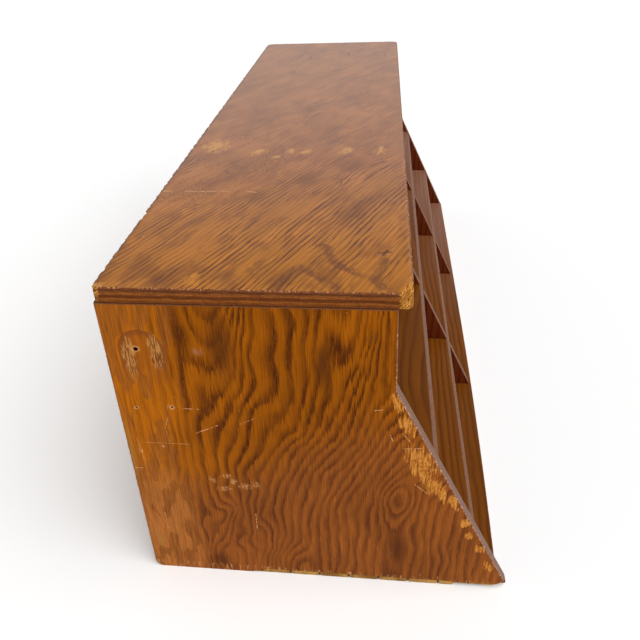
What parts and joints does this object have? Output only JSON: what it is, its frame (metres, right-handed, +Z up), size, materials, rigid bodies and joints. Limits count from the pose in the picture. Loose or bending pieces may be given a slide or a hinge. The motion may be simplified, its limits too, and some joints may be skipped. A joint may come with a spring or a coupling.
{
  "type": "desktop pigeonhole rack",
  "caption": "Slant-front plywood desktop rack with open pigeonholes for papers and envelopes, flat top and sloping ends.",
  "frame": {"origin": "centre of the base of the bounding box, on the surface that the rack stands on", "axes": "+X along the length, -Y towards the open slanted front, +Z up"},
  "size_m": [0.883, 0.33, 0.311],
  "materials": {
    "end_face": "amber varnished rotary-cut fir plywood, worn edges",
    "top_face": "glossy reddish-amber varnished fir plywood, scratched",
    "inner_ply": "satin brown varnished thin fir plywood",
    "back_ply": "dull unvarnished-looking thin plywood",
    "nail_steel": "dark steel nails, set below the surface"
  },
  "bodies": {
    "root": {"back_nail_bottom_board_1": "nail_steel", "back_nail_bottom_board_2": "nail_steel", "back_nail_bottom_board_3": "nail_steel", "back_nail_left_divider_1": "nail_steel", "back_nail_left_divider_2": "nail_steel", "back_nail_left_divider_3": "nail_steel", "back_nail_middle_shelf_1": "nail_steel", "back_nail_middle_shelf_2": "nail_steel", "back_nail_middle_shelf_3": "nail_steel", "back_nail_right_divider_1": "nail_steel", "back_nail_right_divider_2": "nail_steel", "back_nail_right_divider_3": "nail_steel", "back_nail_upper_shelf_1": "nail_steel", "back_nail_upper_shelf_2": "nail_steel", "back_nail_upper_shelf_3": "nail_steel", "back_panel": "back_ply", "bottom_board": "inner_ply", "bottom_nail_left_1": "nail_steel", "bottom_nail_left_2": "nail_steel", "bottom_nail_left_3": "nail_steel", "bottom_nail_right_1": "nail_steel", "bottom_nail_right_2": "nail_steel", "bottom_nail_right_3": "nail_steel", "foot_nail_left_1": "nail_steel", "foot_nail_left_2": "nail_steel", "foot_nail_left_3": "nail_steel", "foot_nail_right_1": "nail_steel", "foot_nail_right_2": "nail_steel", "foot_nail_right_3": "nail_steel", "left_divider": "inner_ply", "left_end_panel": "end_face", "middle_shelf": "inner_ply", "right_divider": "inner_ply", "right_end_panel": "end_face", "top_board": "top_face", "top_nail_left_divider_1": "nail_steel", "top_nail_left_divider_2": "nail_steel", "top_nail_left_divider_3": "nail_steel", "top_nail_left_end_1": "nail_steel", "top_nail_left_end_2": "nail_steel", "top_nail_left_end_3": "nail_steel", "top_nail_left_end_4": "nail_steel", "top_nail_right_divider_1": "nail_steel", "top_nail_right_divider_2": "nail_steel", "top_nail_right_divider_3": "nail_steel", "top_nail_right_end_1": "nail_steel", "top_nail_right_end_2": "nail_steel", "top_nail_right_end_3": "nail_steel", "top_nail_right_end_4": "nail_steel", "upper_shelf": "inner_ply"}
  },
  "joints": []
}
